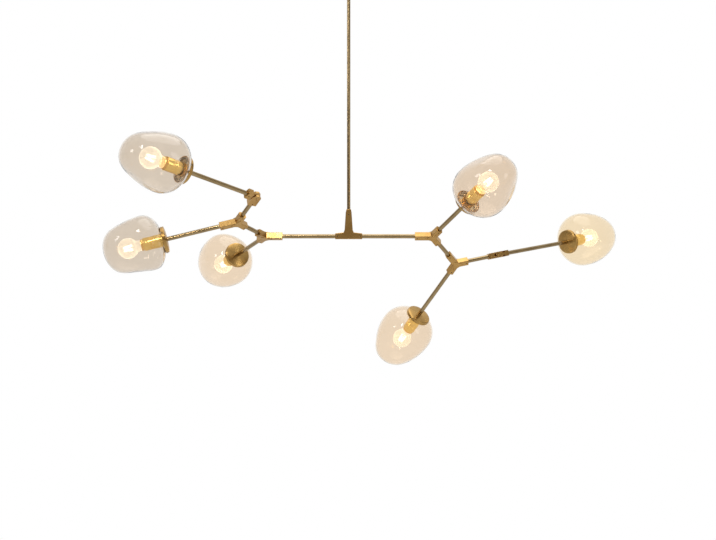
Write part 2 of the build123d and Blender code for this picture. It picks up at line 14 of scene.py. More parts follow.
import bmesh
import bpy
from mathutils import Matrix, Vector

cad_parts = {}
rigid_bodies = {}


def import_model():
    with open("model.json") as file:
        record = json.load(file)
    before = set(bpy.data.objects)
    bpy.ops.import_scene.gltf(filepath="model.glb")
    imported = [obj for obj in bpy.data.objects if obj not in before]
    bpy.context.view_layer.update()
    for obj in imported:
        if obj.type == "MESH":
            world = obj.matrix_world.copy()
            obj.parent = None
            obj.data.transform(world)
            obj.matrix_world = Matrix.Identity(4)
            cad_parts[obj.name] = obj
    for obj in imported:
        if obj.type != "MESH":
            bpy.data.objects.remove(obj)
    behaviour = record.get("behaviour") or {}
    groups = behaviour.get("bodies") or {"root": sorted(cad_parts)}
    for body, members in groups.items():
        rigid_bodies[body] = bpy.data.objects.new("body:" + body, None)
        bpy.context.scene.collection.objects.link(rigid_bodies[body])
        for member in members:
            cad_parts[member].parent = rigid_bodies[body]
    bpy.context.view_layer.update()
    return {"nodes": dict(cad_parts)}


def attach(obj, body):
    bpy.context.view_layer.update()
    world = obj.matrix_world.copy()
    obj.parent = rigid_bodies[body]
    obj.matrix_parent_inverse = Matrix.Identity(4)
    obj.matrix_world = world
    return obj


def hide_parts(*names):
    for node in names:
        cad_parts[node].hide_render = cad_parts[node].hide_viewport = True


LOG = logging.getLogger("chandelier")
MM = 0.001
QUARTER_TURN = 0.25
WHITE = (1.0, 1.0, 1.0)
LEG_ANGLE = 120.0
WIRE_CREASE = 60.0
GLOBE_CREASE = 50.0
SHELL_CREASE = 40.0
FLOOR_CREASE = 30.0
TURNED_CREASE = 28.0
Colour = tuple[float, float, float]
Profile = list[tuple[float, float]]
Operand = Union["Wire", float]


class Wire:
    """A value in a node tree that takes part in ordinary sums."""

    def __init__(self, graph: "Graph", socket: bpy.types.NodeSocket) -> None:
        """Hold a socket and the graph that it belongs to."""
        self.graph = graph
        self.socket = socket

    def _join(self, operation: str, first: Operand, second: Operand) -> "Wire":
        """Add one Math node.

        Args:
            operation: The Math node's operation.
            first: Its first value or wire.
            second: Its second value or wire.

        Returns:
            The node's result.
        """
        return self.graph.node("ShaderNodeMath", {"operation": operation}, {0: first, 1: second})

    def __add__(self, other: Operand) -> "Wire":
        """Sum."""
        return self._join("ADD", self, other)

    def __radd__(self, other: Operand) -> "Wire":
        """Sum with a number on the left."""
        return self._join("ADD", other, self)

    def __sub__(self, other: Operand) -> "Wire":
        """Difference."""
        return self._join("SUBTRACT", self, other)

    def __rsub__(self, other: Operand) -> "Wire":
        """Difference from a number on the left."""
        return self._join("SUBTRACT", other, self)

    def __mul__(self, other: Operand) -> "Wire":
        """Product."""
        return self._join("MULTIPLY", self, other)

    def __rmul__(self, other: Operand) -> "Wire":
        """Product with a number on the left."""
        return self._join("MULTIPLY", other, self)

    def sine(self) -> "Wire":
        """Sine, in radians."""
        return self._join("SINE", self, 0.0)

    def root(self) -> "Wire":
        """Square root."""
        return self._join("SQRT", self, 0.0)

    def above(self, other: Operand) -> "Wire":
        """1 where it is above the other value, and 0 elsewhere."""
        return self._join("GREATER_THAN", self, other)

    def larger(self, other: Operand) -> "Wire":
        """The larger of two values."""
        return self._join("MAXIMUM", self, other)

    def smaller(self, other: Operand) -> "Wire":
        """The smaller of two values."""
        return self._join("MINIMUM", self, other)

    def clamped(self) -> "Wire":
        """Held between 0 and 1."""
        return self.larger(0.0).smaller(1.0)


class Graph:
    """A node tree, filled through one method."""

    def __init__(self, tree: bpy.types.NodeTree) -> None:
        """Start from an empty tree."""
        self.tree = tree
        self.tree.nodes.clear()

    def node(
        self,
        kind: str,
        settings: Optional[dict[str, Any]] = None,
        inputs: Optional[dict[Union[str, int], Any]] = None,
        output: Union[str, int] = 0,
    ) -> Wire:
        """Add a node.

        Args:
            kind: The node's type.
            settings: Its own settings, set first. "stops" holds a colour ramp's stops.
            inputs: Values or wires for its sockets, by name or number.
            output: Which output to return.

        Returns:
            The chosen output.
        """
        made = self.tree.nodes.new(kind)
        for name, value in (settings or {}).items():
            if name == "stops":
                self._set_stops(made, value)
            else:
                setattr(made, name, value)
        for name, value in (inputs or {}).items():
            if isinstance(value, Wire):
                self.tree.links.new(value.socket, made.inputs[name])
            else:
                made.inputs[name].default_value = value
        return Wire(self, made.outputs[output]) if len(made.outputs) else Wire(self, made.inputs[0])

    @staticmethod
    def _set_stops(ramp: bpy.types.Node, stops: Sequence[tuple[float, Colour]]) -> None:
        """Give a colour ramp its stops.

        Args:
            ramp: The colour ramp node, with two stops of its own.
            stops: Position and colour of each stop, two or more.
        """
        elements = ramp.color_ramp.elements
        for _ in range(len(stops) - len(elements)):
            elements.new(0.5)
        for element, (position, colour) in zip(elements, stops):
            element.position = position
            element.color = (*colour, 1.0)

    def place(self) -> Wire:
        """The surface's own coordinates, in metres."""
        return self.node("ShaderNodeTexCoord", output="Object")

    def parts(self, vector: Wire) -> tuple[Wire, Wire, Wire]:
        """Split a vector.

        Args:
            vector: The vector to split.

        Returns:
            Its X, Y and Z.
        """
        first = self.node("ShaderNodeSeparateXYZ", inputs={0: vector})
        outputs = first.socket.node.outputs
        return first, Wire(self, outputs[1]), Wire(self, outputs[2])

    def noise(self, where: Wire, per_metre: float, detail: float = 3.0, roughness: float = 0.55) -> Wire:
        """Cloudy noise from 0 to 1.

        Args:
            where: Coordinates in metres.
            per_metre: How many lumps there are to a metre.
            detail: Layers of finer noise.
            roughness: How strong the finer layers are.

        Returns:
            The noise value.
        """
        sockets = {"Vector": where, "Scale": per_metre, "Detail": detail, "Roughness": roughness}
        return self.node("ShaderNodeTexNoise", inputs=sockets)

    def blend(self, share: Operand, first: Union[Wire, Colour], second: Union[Wire, Colour]) -> Wire:
        """Mix two colours.

        Args:
            share: 0 for the first colour and 1 for the second.
            first: A colour or a wire.
            second: A colour or a wire.

        Returns:
            The mixed colour.
        """
        ends = [end if isinstance(end, Wire) else (*end, 1.0) for end in (first, second)]
        sockets = {0: share, 6: ends[0], 7: ends[1]}
        return self.node("ShaderNodeMix", {"data_type": "RGBA"}, sockets, output=2)

    def bump(self, height: Wire, depth: float, strength: float, under: Optional[Wire] = None) -> Wire:
        """Turn a height into a surface direction.

        Args:
            height: Height from 0 to 1.
            depth: How deep a height of 1 is, in metres.
            strength: Share of the effect.
            under: A direction to start from.

        Returns:
            The direction.
        """
        sockets = {"Strength": strength, "Distance": depth, "Height": height}
        if under is not None:
            sockets["Normal"] = under
        return self.node("ShaderNodeBump", inputs=sockets)


def new_graph(name: str) -> tuple[bpy.types.Material, Graph]:
    """Make an empty material.

    Args:
        name: The material's name.

    Returns:
        The material and its graph.
    """
    material = bpy.data.materials.new(name)
    material.use_nodes = True
    return material, Graph(material.node_tree)


def close_graph(graph: Graph, sockets: dict[Union[str, int], Any]) -> None:
    """End a graph in a Principled surface.

    Args:
        graph: The graph to end.
        sockets: The surface's values and wires.
    """
    surface = graph.node("ShaderNodeBsdfPrincipled", inputs=sockets)
    graph.node("ShaderNodeOutputMaterial", inputs={"Surface": surface})


class Grain(Enum):
    """How a metal piece was worked."""

    CAST = "cast"
    DRAWN = "drawn"
    TURNED = "turned"


@dataclass(frozen=True)
class CupInsidePaintedLight:
    """Painted light on the inside of a cup: a paler tone that stands in for the bulb's light falling
    there, on all that faces its heart, a point on its axis so many millimetres in.
    """

    tone: Colour
    roughness: float
    heart: float

    def mask(self, graph: Graph, where: Wire) -> Wire:
        """Tell the inside from the outside.

        Args:
            graph: The graph to add to.
            where: Coordinates in metres, with Z along the cup's axis.

        Returns:
            1 on the inside and 0 on the outside.
        """
        facing = graph.node("ShaderNodeTexCoord", output="Normal")
        middle = (0.0, 0.0, self.heart * MM)
        away = graph.node("ShaderNodeVectorMath", {"operation": "SUBTRACT"}, {0: where, 1: middle})
        product = {"operation": "DOT_PRODUCT"}
        turned_out = graph.node("ShaderNodeVectorMath", product, {0: away, 1: facing}, "Value")
        return (0.0 - turned_out).above(0.0)


@dataclass(frozen=True)
class BrassFinish:
    """Satin brass, with tarnish in clouds and the marks of how it was worked, sizes in millimetres, and
    an optional cup inside painted paler as painted light.

    A sheen above 0 draws highlights out across turning marks that run round the piece's own Z.
    """

    name: str
    tone: Colour
    tarnish: Colour
    roughness: float
    grain: Grain
    edge_round: float = 0.7
    sheen: float = 0.0
    mark_depth: float = 0.08
    inner_face: Optional[CupInsidePaintedLight] = None
    mark_strength: float = 0.55
    clouds_per_metre: float = 26.0
    cloud_edges: tuple[float, float] = (0.38, 0.72)
    cloud_share: float = 0.62
    cloud_dulling: float = 0.1
    specks_per_metre: float = 420.0
    speck_share: float = 0.22
    speck_dulling: float = 0.14
    drawn_marks_per_metre: float = 900.0
    turning_pitch: float = 1.1
    turning_share: float = 0.6
    chatter_per_metre: float = 160.0

    def material(self) -> bpy.types.Material:
        """Build the finish."""
        material, graph = new_graph(self.name)
        where = graph.place()
        clouds = graph.noise(where, self.clouds_per_metre, 4.0, 0.6)
        specks = graph.noise(where, self.specks_per_metre, 2.0)
        clean, tarnished = self.cloud_edges
        stops = [(clean, (0.0, 0.0, 0.0)), (tarnished, WHITE)]
        share = graph.node("ShaderNodeValToRGB", {"stops": stops}, {0: clouds})
        age = share * self.cloud_share + specks * self.speck_share
        colour = graph.blend(age, self.tone, self.tarnish)
        rounded = graph.node("ShaderNodeBevel", {"samples": 4}, {"Radius": self.edge_round * MM})
        least = self.roughness - (self.speck_dulling + self.cloud_dulling) / 2
        dullness = specks * self.speck_dulling + clouds * self.cloud_dulling + least
        # Painted light: the cup's inside gets a paler tone in place of the bulb's light on it, and its
        # own lower roughness.
        if self.inner_face is not None:
            painted_light_inside = self.inner_face.mask(graph, where)
            colour = graph.blend(painted_light_inside, colour, self.inner_face.tone)
            dullness = dullness + painted_light_inside * (self.inner_face.roughness - self.roughness)
        height = self._marks(graph, where, specks)
        sockets = {
            "Base Color": colour,
            "Metallic": 1.0,
            "Roughness": dullness,
            "Anisotropic": self.sheen,
            "Anisotropic Rotation": QUARTER_TURN,
            "Normal": graph.bump(height, self.mark_depth * MM, self.mark_strength, rounded),
        }
        close_graph(graph, sockets)
        return material

    def _marks(self, graph: Graph, where: Wire, specks: Wire) -> Wire:
        """Heights of the working marks.

        Args:
            graph: The graph to add to.
            where: Coordinates in metres.
            specks: Fine noise for cast pieces.

        Returns:
            Height from 0 to 1.
        """
        if self.grain is Grain.CAST:
            return specks
        if self.grain is Grain.DRAWN:
            return graph.noise(where, self.drawn_marks_per_metre, 2.0)
        across, over, _ = graph.parts(where)
        reach = (across * across + over * over).root()
        rings = (reach * (2 * pi / (self.turning_pitch * MM))).sine() * 0.5 + 0.5
        chatter = graph.noise(where, self.chatter_per_metre, 2.0)
        return rings * self.turning_share + chatter * (1 - self.turning_share)


@dataclass(frozen=True)
class GlassFinish:
    """Clear blown glass with a tint and soft waves in its surface."""

    name: str
    tint: Colour
    roughness: float = 0.0
    bending: float = 1.28
    waves_per_metre: float = 34.0
    wave_depth: float = 0.9
    wave_strength: float = 0.35
    streak: float = 0.96
    seeds_per_metre: float = 260.0
    seed_share: float = 0.06

    def material(self) -> bpy.types.Material:
        """Build the finish."""
        material, graph = new_graph(self.name)
        where = graph.place()
        waves = graph.noise(where, self.waves_per_metre, 1.5)
        seeds = graph.noise(where, self.seeds_per_metre, 1.0)
        streaks = tuple(channel * self.streak for channel in self.tint)
        height = waves * (1 - self.seed_share) + seeds * self.seed_share
        sockets = {
            "Base Color": graph.blend(waves * 0.5, self.tint, streaks),
            "Roughness": self.roughness,
            "IOR": self.bending,
            "Transmission Weight": 1.0,
            "Normal": graph.bump(height, self.wave_depth * MM, self.wave_strength),
        }
        close_graph(graph, sockets)
        return material


@dataclass(frozen=True)
class GlowFinish:
    """A surface that gives off warm light."""

    name: str
    colour: Colour
    strength: float
    base: Colour = (0.9, 0.8, 0.65)
    clear: float = 0.0
    roughness: float = 0.4
    bending: float = 1.06
    flecks_per_metre: float = 120.0
    fleck_dulling: float = 0.1

    def material(self) -> bpy.types.Material:
        """Build the finish."""
        material, graph = new_graph(self.name)
        flecks = graph.noise(graph.place(), self.flecks_per_metre, 2.0)
        paler = tuple(0.5 * (1.0 + channel) for channel in self.colour)
        sockets = {
            "Base Color": (*self.base, 1.0),
            "Roughness": flecks * self.fleck_dulling + (self.roughness - self.fleck_dulling / 2),
            "Transmission Weight": self.clear,
            "IOR": self.bending,
            "Emission Color": graph.blend(flecks, self.colour, paler),
            "Emission Strength": self.strength,
        }
        close_graph(graph, sockets)
        return material


@dataclass(frozen=True)
class PlainFinish:
    """Steel or plastic with a fine grain and uneven tone."""

    name: str
    tone: Colour
    shade: Colour
    metallic: float
    roughness: float
    grains_per_metre: float = 500.0
    grain_share: float = 0.3
    grain_dulling: float = 0.16
    grain_depth: float = 0.05
    grain_strength: float = 0.4
    clouds_per_metre: float = 40.0

    def material(self) -> bpy.types.Material:
        """Build the finish."""
        material, graph = new_graph(self.name)
        where = graph.place()
        grain = graph.noise(where, self.grains_per_metre, 3.0)
        clouds = graph.noise(where, self.clouds_per_metre, 2.0)
        share = clouds * (1 - self.grain_share) + grain * self.grain_share
        sockets = {
            "Base Color": graph.blend(share, self.tone, self.shade),
            "Metallic": self.metallic,
            "Roughness": grain * self.grain_dulling + (self.roughness - self.grain_dulling / 2),
            "Normal": graph.bump(grain, self.grain_depth * MM, self.grain_strength),
        }
        close_graph(graph, sockets)
        return material


CAST_BRASS = BrassFinish("cast_satin_brass", (0.54, 0.33, 0.112), (0.3, 0.155, 0.042), 0.3, Grain.CAST)
DRAWN_BRASS = BrassFinish(
    "drawn_satin_brass",
    (0.39, 0.288, 0.15),
    (0.24, 0.165, 0.078),
    0.22,
    Grain.DRAWN,
    edge_round=0.3,
    mark_depth=0.01,
)
TURNED_BRASS = BrassFinish(
    "turned_satin_brass",
    (0.54, 0.34, 0.115),
    (0.31, 0.172, 0.052),
    0.29,
    Grain.TURNED,
    edge_round=0.4,
    sheen=0.8,
    mark_depth=0.02,
)
# Painted light: a paler tone for the cup's inside, standing in for the bulb's light falling there.
CUP_INSIDE_PAINTED_LIGHT = CupInsidePaintedLight(tone=(0.78, 0.66, 0.46), roughness=0.2, heart=8.0)
CUP_BRASS = replace(TURNED_BRASS, name="turned_cup_brass_painted_inside_light", inner_face=CUP_INSIDE_PAINTED_LIGHT)
# Polished brass whose pale tone is partly painted light: it stands in for the bulb's glow falling on the
# sleeve.
SLEEVE_BRASS_WITH_PAINTED_LIGHT = BrassFinish(
    "polished_sleeve_brass_painted_bulb_light",
    (0.92, 0.68, 0.25),
    (0.74, 0.5, 0.16),
    0.2,
    Grain.DRAWN,
    edge_round=0.3,
    mark_depth=0.03,
)
CAP_BRASS = BrassFinish(
    "bulb_cap_brass", (0.88, 0.6, 0.24), (0.66, 0.42, 0.15), 0.22, Grain.DRAWN, edge_round=0.2
)
SMOKE_GLASS = GlassFinish("smoke_tinted_glass", (0.828, 0.765, 0.69))
ROSE_GLASS = GlassFinish("rose_tinted_glass", (0.875, 0.785, 0.684))
CHAMPAGNE_GLASS = GlassFinish("champagne_tinted_glass", (0.92, 0.825, 0.71))
HONEY_GLASS = GlassFinish("honey_tinted_glass", (0.95, 0.86, 0.712))
GLASSES = (SMOKE_GLASS, ROSE_GLASS, CHAMPAGNE_GLASS, HONEY_GLASS)
BULB_GLASS = GlowFinish("lit_bulb_glass", (1.0, 0.88, 0.6), 0.03, (1.0, 0.98, 0.94), 1.0, 0.55)
FILAMENT = GlowFinish("glowing_filament", (1.0, 0.92, 0.72), 3.2, (0.01, 0.01, 0.01))
SCREW_STEEL = PlainFinish("bronzed_screw_steel", (0.17, 0.125, 0.07), (0.1, 0.072, 0.04), 0.9, 0.42)
PLATED_STEEL = PlainFinish("zinc_plated_steel", (0.62, 0.62, 0.63), (0.5, 0.5, 0.52), 1.0, 0.34)
MOULDED_PLASTIC = PlainFinish("white_moulded_plastic", (0.86, 0.86, 0.83), (0.8, 0.8, 0.77), 0.0, 0.5)
PORCELAIN = PlainFinish("lampholder_porcelain", (0.85, 0.83, 0.78), (0.78, 0.75, 0.7), 0.0, 0.3)


def turned(direction: Vector, axis: Vector, angle: float) -> Vector:
    """Turn a direction by the right-hand rule.

    Args:
        direction: What to turn.
        axis: What to turn it about.
        angle: How far, in degrees.

    Returns:
        The turned direction.
    """
    return Matrix.Rotation(radians(angle), 3, axis) @ direction


def level_across(along: Vector) -> Vector:
    """The level direction square to a given one."""
    return along.cross(Vector((0, 0, 1))).normalized()


@dataclass
class BranchLayout:
    """Where the branches go, in millimetres and degrees, as the frame has them."""

    drop: float = 620.0
    half_span: float = 196.0
    left_tilt: float = 72.0
    right_tilt: float = 54.0
    left_link: float = 110.0
    right_link: float = 124.0
    left_roll: float = 26.6
    right_roll: float = -37.3
    elbow_stub: float = 104.0
    inline_stub: float = 109.0
    elbow_roll: float = -7.9
    elbow_bend: float = 75.0
    inline_roll: float = 175.7
    inline_bend: float = 28.5
    reach: dict[int, float] = field(
        default_factory=lambda: {1: 187.0, 2: 161.0, 3: 151.0, 4: 137.0, 5: 177.0, 6: 249.0}
    )

    def head_frames(self) -> dict[int, Matrix]:
        """Work out the place of each light head.

        Returns:
            For each arm a matrix in metres: origin on the cup's outer face, Z along the arm
            and X to its upper side.
        """
        right = Vector((1, 0, 0))
        up = Vector((0, 0, 1))
        roots: dict[int, Vector] = {}
        along: dict[int, Vector] = {}
        tee = -up * self.drop
        leg = LEG_ANGLE

        normal = right.cross(turned(up, right, self.left_tilt))
        link = turned(right, normal, leg)
        along[3] = turned(right, normal, -leg)
        roots[3] = tee - right * self.half_span
        roots[2] = roots[3] + link * self.left_link
        normal = link.cross(turned(level_across(link), link, self.left_roll))
        along[2] = turned(link, normal, leg / 2)
        stub = turned(link, normal, -leg / 2)
        roots[1] = roots[2] + stub * self.elbow_stub
        hinge = stub.cross(turned(level_across(stub), stub, self.elbow_roll))
        along[1] = turned(stub, hinge, self.elbow_bend)

        normal = right.cross(turned(up, right, self.right_tilt))
        link = turned(-right, normal, leg)
        along[4] = turned(-right, normal, -leg)
        roots[4] = tee + right * self.half_span
        roots[5] = roots[4] + link * self.right_link
        normal = link.cross(turned(level_across(link), link, self.right_roll))
        along[5] = turned(link, normal, -leg / 2)
        stub = turned(link, normal, leg / 2)
        roots[6] = roots[5] + stub * self.inline_stub
        hinge = stub.cross(turned(level_across(stub), stub, self.inline_roll))
        along[6] = turned(stub, hinge, self.inline_bend)
        ends = {arm: roots[arm] + along[arm] * self.reach[arm] for arm in sorted(roots)}
        return {arm: self._frame(end, along[arm]) for arm, end in ends.items()}

    @staticmethod
    def _frame(origin: Vector, along: Vector) -> Matrix:
        """Matrix of one light head.

        Args:
            origin: The middle of the cup's outer face, in millimetres.
            along: The arm's direction.

        Returns:
            The matrix, in metres.
        """
        across = Vector((0, 1, 0)).cross(along).normalized()
        if across.z < 0:
            across = -across
        turn = Matrix((across, along.cross(across), along)).transposed()
        return Matrix.Translation(origin * MM) @ turn.to_4x4()


def mesh_object(
    name: str, points: list[Vector], faces: list[tuple[int, ...]], sharp: float
) -> bpy.types.Object:
    """Make a smooth-shaded object.

    Args:
        name: The object's name.
        points: Its points, in metres.
        faces: Its faces, as numbers of points.
        sharp: Edges with a larger angle than this, in degrees, stay crisp.

    Returns:
        The object, in the scene.
    """
    mesh = bpy.data.meshes.new(name)
    mesh.from_pydata([tuple(point) for point in points], [], faces)
    work = bmesh.new()
    work.from_mesh(mesh)
    bmesh.ops.recalc_face_normals(work, faces=work.faces)
    work.to_mesh(mesh)
    work.free()
    mesh.shade_smooth()
    mesh.set_sharp_from_angle(angle=radians(sharp))
    made = bpy.data.objects.new(name, mesh)
    bpy.context.scene.collection.objects.link(made)
    return made


def ring_faces(first: int, second: int, count: int) -> list[tuple[int, ...]]:
    """Quads between two rings of points.

    Args:
        first: Number of the first ring's first point.
        second: Number of the second ring's first point.
        count: Points in a ring.

    Returns:
        The faces.
    """
    steps = [(i, (i + 1) % count) for i in range(count)]
    return [(first + here, first + ahead, second + ahead, second + here) for here, ahead in steps]


def skin_rings(
    name: str, rings: list[list[Vector]], start: Optional[Vector], end: Optional[Vector], sharp: float
) -> bpy.types.Object:
    """Skin a row of rings, closed by a point at each end, or joined end to end.

    Args:
        name: The object's name.
        rings: Rings of the same number of points, in metres.
        start: A point that closes the first ring, or None.
        end: A point that closes the last ring, or None.
        sharp: Crease angle in degrees.

    Returns:
        The object.
    """
    count = len(rings[0])
    points = [point for ring in rings for point in ring]
    faces: list[tuple[int, ...]] = []
    for number in range(len(rings) - 1):
        faces += ring_faces(number * count, (number + 1) * count, count)
    last = (len(rings) - 1) * count
    if start is None and end is None:
        faces += ring_faces(last, 0, count)
    if start is not None:
        points.append(start)
        faces += [(len(points) - 1, (i + 1) % count, i) for i in range(count)]
    if end is not None:
        points.append(end)
        faces += [(len(points) - 1, last + i, last + (i + 1) % count) for i in range(count)]
    return mesh_object(name, points, faces, sharp)


def lathe(name: str, profile: Profile, count: int = 96, sharp: float = TURNED_CREASE) -> bpy.types.Object:
    """Turn a profile about Z.

    Args:
        name: The object's name.
        profile: Radius and height of each point, in millimetres. A radius of 0 at an end closes it.
        count: Points round the axis.
        sharp: Crease angle in degrees.

    Returns:
        The object, about the origin.
    """
    rings: list[list[Vector]] = []
    tips: list[Optional[Vector]] = [None, None]
    for number, (radius, height) in enumerate(profile):
        if radius == 0.0:
            tips[0 if number == 0 else 1] = Vector((0, 0, height)) * MM
            continue
        turn = [2 * pi * i / count for i in range(count)]
        rings.append([Vector((radius * cos(a), radius * sin(a), height)) * MM for a in turn])
    return skin_rings(name, rings, tips[0], tips[1], sharp)


def arc(
    centre: tuple[float, float], radii: tuple[float, float], sweep: tuple[float, float], steps: int
) -> Profile:
    """Points on part of an ellipse.

    Args:
        centre: Its middle.
        radii: Its half widths.
        sweep: First and last angle, in degrees.
        steps: How many points.

    Returns:
        The points.
    """
    angles = [radians(sweep[0] + (sweep[1] - sweep[0]) * i / (steps - 1)) for i in range(steps)]
    return [(centre[0] + radii[0] * cos(a), centre[1] + radii[1] * sin(a)) for a in angles]


def wire_tube(name: str, path: list[Vector], radius: float, count: int = 8) -> bpy.types.Object:
    """A round wire along a path.

    Args:
        name: The object's name.
        path: Points that it follows, in millimetres.
        radius: Its radius, in millimetres.
        count: Points round it.

    Returns:
        The object.
    """
    rings: list[list[Vector]] = []
    for number, point in enumerate(path):
        ahead = path[min(number + 1, len(path) - 1)] - path[max(number - 1, 0)]
        side = ahead.orthogonal().normalized()
        over = ahead.normalized().cross(side)
        turn = [2 * pi * i / count for i in range(count)]
        rings.append([(point + side * radius * cos(a) + over * radius * sin(a)) * MM for a in turn])
    return skin_rings(name, rings, path[0] * MM, path[-1] * MM, WIRE_CREASE)


@dataclass
class Carrier:
    """What a new piece is set on: a light head's place and the body that it moves with."""

    place: Matrix
    body: str

    def seat(self, piece: bpy.types.Object, finish: bpy.types.Material, slot: str, *nodes: str) -> None:
        """Place a piece, give it its finish and let it move with its body.

        Args:
            piece: The new piece, made about the origin.
            finish: Its material.
            slot: The record's material slot; not used.
            nodes: The CAD nodes that it stands for.
        """
        piece.matrix_world = self.place
        piece.data.materials.append(finish)
        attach(piece, self.body)
        if nodes:
            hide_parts(*nodes)
        LOG.info("%s rides on %s", piece.name, self.body)


@dataclass
class ShadeCup:
    """Turned brass cup that holds a globe's neck, measured along the arm from its outer face."""

    radius: float = 30.0
    depth: float = 10.0
    wall: float = 1.5
    skirt: float = 6.6
    bead: float = 0.7
    hole: float = 5.05
    boss: float = 9.0
    boss_rise: float = 0.3
    lining_rise: float = 0.8

    def profile(self) -> Profile:
        """Half section of the cup, as a closed loop."""
        shoulder = self.depth - self.skirt
        inner = self.radius - self.wall
        inner_face = shoulder + self.lining_rise
        outline: Profile = [(self.hole, 0.0), (self.boss, 0.0), (self.boss, self.boss_rise)]
        dome = (self.radius - self.boss, shoulder - self.boss_rise)
        outline += arc((self.boss, shoulder), dome, (-88, 0), 24)
        outline += [(self.radius, self.depth - 2 * self.bead)]
        outline += arc((self.radius, self.depth - self.bead), (self.bead, self.bead), (-80, 80), 7)
        outline += [(self.radius, self.depth), (inner, self.depth)]
        outline += arc((self.boss, inner_face), (inner - self.boss, inner_face - self.wall), (0, -88), 24)
        outline += [(self.hole, self.wall)]
        return outline

    def build(self, arm: int, carrier: Carrier, finish: bpy.types.Material) -> None:
        """Make one arm's cup.

        Args:
            arm: The arm's number.
            carrier: Where it goes.
            finish: Its material.
        """
        cup = lathe(f"turned_cup_{arm}", self.profile(), 128)
        carrier.seat(cup, finish, "satin_brass", f"shade_cup_{arm}")


@dataclass
class Lampholder:
    """Brass sleeve with a rolled mouth and grip rings, round a porcelain insulator."""

    radius: float = 15.0
    wall: float = 1.4
    start: float = 1.5
    mouth: float = 54.0
    floor: float = 3.0
    hole: float = 5.05
    foot_edge: float = 0.6
    mouth_roll: float = 0.7
    grip_count: int = 3
    grip_start: float = 30.0
    grip_pitch: float = 3.2
    grip_width: float = 1.9
    grip_depth: float = 0.5
    insulator: tuple[float, float] = (6.2, 26.0)
    insulator_gap: float = 0.2
    insulator_edge: float = 1.0
    contact_radius: float = 4.0
    contact_depth: float = 1.5
    wire_hole: float = 1.5

    def profile(self) -> Profile:
        """Half section of the sleeve, as a closed loop."""
        inner = self.radius - self.wall
        floor = self.start + self.floor
        groove = self.radius - self.grip_depth
        outline: Profile = [(self.hole, self.start), (self.radius - self.foot_edge, self.start)]
        outline += [(self.radius, self.start + self.foot_edge)]
        for ring in range(self.grip_count):
            low = self.grip_start + self.grip_pitch * ring
            high = low + self.grip_width
            outline += [(self.radius, low), (groove, low + self.grip_depth)]
            outline += [(groove, high - self.grip_depth), (self.radius, high)]
        middle = (self.radius - self.wall / 2, self.mouth - self.mouth_roll)
        outline += arc(middle, (self.wall / 2, self.mouth_roll), (0, 180), 9)
        outline += [(inner, floor), (self.hole, floor)]
        return outline

    def insulator_section(self) -> Profile:
        """Half section of the insulator, as a closed loop with a pocket for the bulb's contact."""
        low, high = self.insulator
        side = self.radius - self.wall - self.insulator_gap
        pocket = high - self.contact_depth
        section: Profile = [(self.wire_hole, low), (side, low)]
        section += [(side, high - self.insulator_edge), (side - self.insulator_edge, high)]
        section += [(self.contact_radius, high), (self.contact_radius, pocket)]
        section += [(self.wire_hole, pocket)]
        return section

    def build(
        self, arm: int, carrier: Carrier, brass: bpy.types.Material, porcelain: bpy.types.Material
    ) -> None:
        """Make one arm's lampholder.

        Args:
            arm: The arm's number.
            carrier: Where it goes.
            brass: The sleeve's material.
            porcelain: The insulator's material.
        """
        sleeve = lathe(f"lampholder_sleeve_{arm}", self.profile(), 80)
        carrier.seat(sleeve, brass, "satin_brass", f"lampholder_{arm}")
        insulator = lathe(f"lampholder_insulator_{arm}", self.insulator_section(), 48)
        carrier.seat(insulator, porcelain, "satin_brass")


